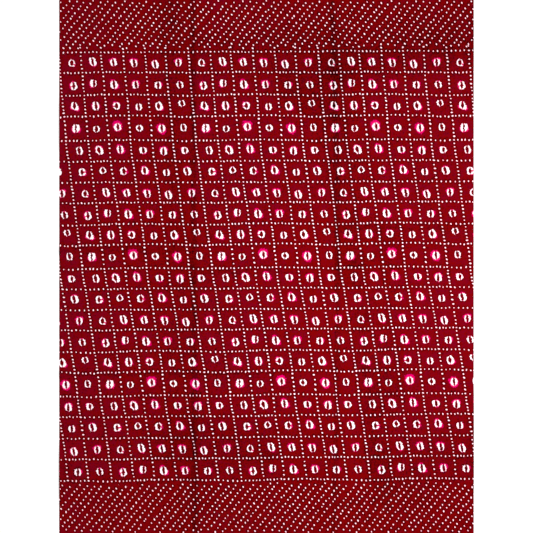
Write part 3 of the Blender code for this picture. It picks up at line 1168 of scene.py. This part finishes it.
def eye_place():
    """x and y about the eye's middle, shaken by small clouds: turned by its tilt, and plain."""
    x = here_x - eye_seat_x
    y = here_y - eye_seat_y
    clouds = cloudy(join(x, y, eye_number * CLOUDS_APART), RAGGED_SCALE, RAGGED_DETAIL)
    x = x + off_even(clouds[0], RAGGED_SIZE)
    y = y + off_even(clouds[1], RAGGED_SIZE)
    along = cosine_of(tilt)
    aside = sine_of(tilt)
    return x * along + y * aside, y * along - x * aside, x, y


eye_x, eye_y, plain_x, plain_y = eye_place()
eye_reach = root(eye_x * eye_x + eye_y * eye_y) + TINY
eye_here = (plain_x, plain_y, eye_reach)
eye_opposite = (plain_x * -1.0, plain_y * -1.0, eye_reach)
print("nodes so far", len(tree.nodes))

# %% [markdown]
# Outline and slit
#
# The outline is a squarish oval, which swells where the bulge points and a little on the other
# side. A slit, widest in the middle, parts it into two beans. It runs right through the ring
# where its hole is long for the eye, and opens into a small mouth at both ends. Where the hole
# is short, only a thin line of it runs on.

# %% Eye outline and slit
OUTLINE_POWER = 2.2

# The white stays this far inside the charted outline, and this far off the slit
DRAWN_IN = 0.0014
BULGE_SHARPNESS = 6.0
BULGE_OUT = 1.5
BULGE_BEHIND = 0.9
SLIT_OPENS = (0.70, 0.76)
SLIT_LINE = 0.00035
SHUT_LINE = 0.66
LINE_FADE = 0.3
SLIT_MOUTH = 0.9
SHUT_MOUTH = 0.25
MOUTH_START = 0.82
bulge_right, bulge_up, halo = stored("eye_bulge")
notch_right, notch_up, taper = stored("eye_notch")

across_eye = size_of(eye_x / (eye_y / half_h * taper + 1.0) / half_w)
along_eye = size_of(eye_y / half_h)
oval = power(power(across_eye, OUTLINE_POWER) + power(along_eye, OUTLINE_POWER), 1.0 / OUTLINE_POWER)
bulge = lobe((bulge_right, bulge_up), eye_here, BULGE_SHARPNESS) * BULGE_OUT
bulge = bulge + lobe((bulge_right, bulge_up), eye_opposite, BULGE_SHARPNESS) * BULGE_BEHIND
outside_field = beyond(v, FIELD_MIDDLE, FIELD_MIDDLE)
outline_edge = eye_reach - eye_reach / (oval + TINY) - bulge + DRAWN_IN + outside_field * FAR

slit_share = eye_y / hole_h
slit_bow = highest(1.0 - slit_share * slit_share, 0.0)
slit_open = ramp(hole_h / half_h, *SLIT_OPENS)
line_share = highest(ramp(slit_bow, 0.0, LINE_FADE), SHUT_LINE + slit_open * (1.0 - SHUT_LINE))
mouth_share = (SHUT_MOUTH + slit_open * (1.0 - SHUT_MOUTH)) * SLIT_MOUTH
slit_mouth = highest(size_of(eye_y) - half_h * MOUTH_START, 0.0) * mouth_share
slit_half = slit_bow * hole_w + line_share * (SLIT_LINE + DRAWN_IN) + slit_mouth
slit_edge = slit_half - size_of(eye_x - hole_x)
white_edge = highest(outline_edge, slit_edge)
print("nodes so far", len(tree.nodes))

# %% [markdown]
# Notch and fringe
#
# A notch is a narrow band from the middle outwards, in which the resist let the dye through and
# the ring turns pink. The fringe is a band outside the outline, as wide as its two lobes and
# the halo make it. Clouds make it patchy, and where it is hardly there it fades out.

# %% Notch and fringe
NOTCH_ALONG = (0.002, 0.004)
NOTCH_BESIDE = (0.0009, 0.0018)
NOTCH_DYE = 0.45
BLUSH_SHARPNESS = 4.0
LEAST_HALO = 0.0004
PATCH_SCALE = 260.0
PATCH_CLOUDS = (0.40, 0.60)
PATCH_LEAST = 0.75
PATCH_MORE = 0.55
FRINGE_SHARE = 0.80
FRINGE_SHOWS = (0.0002, 0.0012)
FRINGE_OVER_RING = (-0.0016, -0.0004)
EDGE_SOFTNESS = 0.0003
FRINGE_SOFTNESS = 0.0006
blush = lobe(stored("eye_blush")[:2], eye_here, BLUSH_SHARPNESS)
blush2 = lobe(stored("eye_blush2")[:2], eye_here, BLUSH_SHARPNESS)

notch_along = plain_x * notch_right + plain_y * notch_up
notch_beside = size_of(plain_x * notch_up - plain_y * notch_right)
notch = ramp(notch_along, *NOTCH_ALONG) * (1.0 - ramp(notch_beside, *NOTCH_BESIDE))

patchy = ramp(cloudy(here, PATCH_SCALE)[0], *PATCH_CLOUDS)
fringe_reach = (halo + LEAST_HALO + blush + blush2) * (PATCH_LEAST + patchy * PATCH_MORE)
fringe = inside(outline_edge - fringe_reach * FRINGE_SHARE, FRINGE_SOFTNESS)
fringe = fringe * ramp(fringe_reach, *FRINGE_SHOWS) * ramp(outline_edge, *FRINGE_OVER_RING)
eye_undyed = inside(white_edge, EDGE_SOFTNESS) * (1.0 - notch * NOTCH_DYE)
print("nodes so far", len(tree.nodes))

# %% [markdown]
# The dyed ground
#
# The red is a deep crimson that drifts between a bluer and a browner tone from place to place.
# Slubs, the thick places in the yarns, run both ways through the weave as short faint streaks.
# Where dye stopped against the resist it gathered, so the ground is darker and browner round
# every mark. Clouds of three sizes blotch it all, the finest ones most.

# %% Ground colour
CRIMSON = (0.159, 0.0001, 0.0082, 1.0)
DEEP_RED = (0.172, 0.0001, 0.0004, 1.0)
BLACK = (0.0, 0.0, 0.0, 1.0)
RIM_DEPTH = 0.76
RIM_REACH = (0.0002, 0.0042)
SLOW_SCALE = 42.0
FINE_SCALE = 150.0
GRAIN_SCALE = 300.0
CLOUD_DETAIL = 2.0
SLUBS_ALONG = 60.0
SLUBS_ACROSS = 420.0
SLUB_CLOUDS = (0.3, 7.3)
SLUB_SHADE = 0.55

# How much each cause turns the ground from deep red to crimson, and from where to where
TONE_OF_DRIFT = 0.35
TONE_OF_GRAIN = 2.4
TONE_OF_RIM = 1.7
RED_TO_CRIMSON = (0.25, 1.15)

# How much each kind of cloud darkens the ground
SHADE_OF_SLOW = 0.12
SHADE_OF_FINE = 0.20
SHADE_OF_GRAIN = 1.8
# Painted shade of the creases and the soft bands, and the dye's blue tone
painted_shade, tone_here = stored("shade")[:2]


def streaks(across, down, apart):
    """Clouds drawn out into streaks: so many to a metre across the sheet, and so many down it."""
    return cloudy(join(here_x * across, here_y * down, apart), 1.0)[0]


slow_blots, slow_blots_2 = cloudy(here, SLOW_SCALE, CLOUD_DETAIL)[:2]
fine_blots, fine_blots_2 = cloudy(here, FINE_SCALE, CLOUD_DETAIL)[:2]
grain, grain_2 = cloudy(here, GRAIN_SCALE)[:2]
nearest_mark = lowest(dots_edge, white_edge)
gathered = (1.0 - ramp(nearest_mark, *RIM_REACH)) * RIM_DEPTH
bluish = tone_here * TONE_OF_DRIFT + slow_blots + (fine_blots - 0.5)
bluish = bluish + (grain_2 - 0.5) * TONE_OF_GRAIN - gathered * TONE_OF_RIM
ground = mix(ramp(bluish, *RED_TO_CRIMSON), DEEP_RED, CRIMSON)

slubs = streaks(SLUBS_ALONG, SLUBS_ACROSS, SLUB_CLOUDS[0])
slubs = slubs + streaks(SLUBS_ACROSS, SLUBS_ALONG, SLUB_CLOUDS[1]) - 1.0
blotched = (slow_blots_2 - 0.5) * SHADE_OF_SLOW + (fine_blots_2 - 0.5) * SHADE_OF_FINE
blotched = blotched + (grain - 0.5) * SHADE_OF_GRAIN
# Painted shade, gathered dye, slubs and clouds darken the ground towards black
ground = mix(gathered + painted_shade + slubs * SLUB_SHADE + blotched, ground, BLACK)
print("nodes so far", len(tree.nodes))

# %% [markdown]
# White resist and pink fringe
#
# Undyed cotton isn't pure white, and here and there it took up a little pink. Dye crept a short
# way under every mark and left a thin brighter rim. So the layers go on in turn: the ground,
# the rim, the fringe, the eyes and the dots. The painted shade of the creases and the soft bands
# darkens them all a little at the end.

# %% Print colour
DYE_CREEP = (0.55, 0.012, 0.06, 1.0)
MAGENTA = (0.62, 0.0002, 0.104, 1.0)
BARE_COTTON = (0.90, 0.845, 0.895, 1.0)
PALE_PINK = (0.86, 0.50, 0.64, 1.0)
CREEP_REACH = 0.0006
CREEP_SOFTNESS = 0.0002
PINKISH_CLOUDS = (0.52, 0.68)
MOST_PINK_DOT = 0.55
DOT_RAGGED = 0.0006
PINK_BY_FRINGE = (0.0004, 0.0030)
PINK_BY_EDGE = (-0.0006, 0.0010)
PINK_INWARDS = 0.25
RING_PINK = 0.6
NOTCH_PINK = 0.85
NOTCH_PINK_ALONE = 0.8
NOTCH_IN_FRINGE = 0.3
SHADE_OVER_PRINT = 0.5
SLUBS_OVER_PRINT = 0.05
pinkish_dot = ramp(fine_blots, *PINKISH_CLOUDS) * MOST_PINK_DOT
dot_white = mix(pinkish_dot, BARE_COTTON, PALE_PINK)
dot_undyed = inside(dots_edge + (fine_blots_2 - 0.5) * DOT_RAGGED, EDGE_SOFTNESS)
ring_pink = ramp(outline_edge + fringe_reach * PINK_INWARDS, *PINK_BY_EDGE) * RING_PINK
eye_pink = ramp(fringe_reach, *PINK_BY_FRINGE) * highest(notch * NOTCH_PINK, ring_pink)
eye_white = mix(eye_pink + notch * NOTCH_PINK_ALONE, BARE_COTTON, MAGENTA)
printed = mix(inside(nearest_mark - CREEP_REACH, CREEP_SOFTNESS), ground, DYE_CREEP)
printed = mix(fringe * (1.0 - notch * NOTCH_IN_FRINGE), printed, MAGENTA)
printed = mix(eye_undyed, printed, eye_white)
printed = mix(dot_undyed, printed, dot_white)
# Painted shade dims the print too, and the slubs do a little
over_print = painted_shade * SHADE_OVER_PRINT + slubs * SLUBS_OVER_PRINT
plug(mix(over_print, printed, BLACK), cotton_shader.inputs["Base Color"])
print("nodes so far", len(tree.nodes))

# %% [markdown]
# Weave
#
# Plain weave: each thread goes over one and under the next. Threads 0.38 mm apart are far too
# fine for the camera above, but close up they give the surface its tooth. Rows of round
# threads run both ways, and a chequer lifts first the one and then the other. Soft clouds
# shake it, because yarn isn't wire.

# %% Weave relief
THREAD_STEP = 0.00038
THREAD_SHAKE = 0.00035
SHAKE_SCALE = 210.0
OVER_AND_UNDER = 0.4
WEAVE_DEPTH = 0.00006
SLUB_DEPTH = 0.00010
BUMP_STRENGTH = 0.6
ROUGH_COTTON = 0.80
ROUGH_SLUBS = 0.10
COTTON_SHINE = 0.012


def weave_height():
    """0 to about 1: the higher of two sets of round threads, each raised in turn by a chequer."""
    shake = cloudy(here, SHAKE_SCALE)
    turn_x = (here_x + off_even(shake[0], THREAD_SHAKE)) * (pi / THREAD_STEP)
    turn_y = (here_y + off_even(shake[1], THREAD_SHAKE)) * (pi / THREAD_STEP)
    chequer = sine_of(turn_x) * sine_of(turn_y) * OVER_AND_UNDER
    along_x = size_of(cosine_of(turn_y)) * (1.0 - OVER_AND_UNDER + chequer)
    along_y = size_of(cosine_of(turn_x)) * (1.0 - OVER_AND_UNDER - chequer)
    return highest(along_x, along_y)


bump = tree.nodes.new("ShaderNodeBump")
bump.inputs["Strength"].default_value = BUMP_STRENGTH
bump.inputs["Distance"].default_value = 1.0
plug(weave_height() * WEAVE_DEPTH + slubs * SLUB_DEPTH, bump.inputs["Height"])
tree.links.new(bump.outputs["Normal"], cotton_shader.inputs["Normal"])
plug(ROUGH_COTTON + slubs * ROUGH_SLUBS, cotton_shader.inputs["Roughness"])
cotton_shader.inputs["Specular IOR Level"].default_value = COTTON_SHINE
cloth_mesh.materials.append(cotton)
print("nodes in the material", len(tree.nodes))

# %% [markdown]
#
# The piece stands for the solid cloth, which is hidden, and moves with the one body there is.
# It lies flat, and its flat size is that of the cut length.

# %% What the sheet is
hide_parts("cloth")
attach(cloth, "root")
print("declared", cloth.name)

# %% [markdown]
# Floor
#
# The cloth lies on something plain and white, lit so evenly that it shows no shadow.

# %% Floor
FLOOR_DROP = 0.0003
FLOOR_HALF = 6.0
FLOOR_WHITE = (0.93, 0.93, 0.93, 1.0)
FLOOR_LIGHTER = (0.95, 0.95, 0.95, 1.0)
FLOOR_MOTTLE_SCALE = 3.0
FLOOR_ROUGHNESS = 0.9
FLOOR_SHINE = 0.1


def make_floor():
    """A large square just under the cloth, with faint mottling."""
    material, floor_tree, shader = new_material("white_table")
    mottle = floor_tree.nodes.new("ShaderNodeTexNoise")
    mottle.inputs["Scale"].default_value = FLOOR_MOTTLE_SCALE
    tone = floor_tree.nodes.new("ShaderNodeMix")
    tone.data_type = "RGBA"
    tone.inputs[6].default_value = FLOOR_WHITE
    tone.inputs[7].default_value = FLOOR_LIGHTER
    floor_tree.links.new(mottle.outputs["Fac"], tone.inputs[0])
    floor_tree.links.new(tone.outputs[2], shader.inputs["Base Color"])
    shader.inputs["Roughness"].default_value = FLOOR_ROUGHNESS
    shader.inputs["Specular IOR Level"].default_value = FLOOR_SHINE
    mesh = bpy.data.meshes.new("floor")
    sides = ((-1, -1), (1, -1), (1, 1), (-1, 1))
    corners = [(FLOOR_HALF * x, FLOOR_HALF * y, -FLOOR_DROP) for x, y in sides]
    mesh.from_pydata(corners, [], [(0, 1, 2, 3)])
    mesh.materials.append(material)
    floor = add_object("floor", mesh)


make_floor()
print("floor at", -FLOOR_DROP)

# %% [markdown]
# Light
#
# A broad soft light hangs to the right, so the cloth is a little brighter on that side and its
# folds catch some shade. The rest of the light comes evenly from all round. The picture keeps
# its colours as they are, with no film curve, as a plain product photograph does.

# %% Light and picture
STUDIO_WHITE = (1.0, 1.0, 1.0, 1.0)
STUDIO_STRENGTH = 0.57
KEY_PLACE = (0.40, -0.03, 1.42)
KEY_SIDE = 0.9
KEY_WATTS = 25.5


def make_soft_light(name, place, side, watts):
    """A square area light that faces the middle of the cloth."""
    data = bpy.data.lights.new(name, "AREA")
    data.shape = "SQUARE"
    data.size = side
    data.energy = watts
    light = add_object(name, data)
    light.location = place
    towards_cloth = -light.location
    light.rotation_euler = towards_cloth.to_track_quat("-Z", "Y").to_euler()


world = bpy.data.worlds.new("studio")
world.use_nodes = True
background = world.node_tree.nodes["Background"]
background.inputs["Color"].default_value = STUDIO_WHITE
background.inputs["Strength"].default_value = STUDIO_STRENGTH
bpy.context.scene.world = world
make_soft_light("key_light", KEY_PLACE, KEY_SIDE, KEY_WATTS)
bpy.context.scene.view_settings.view_transform = "Standard"
print("lights set")
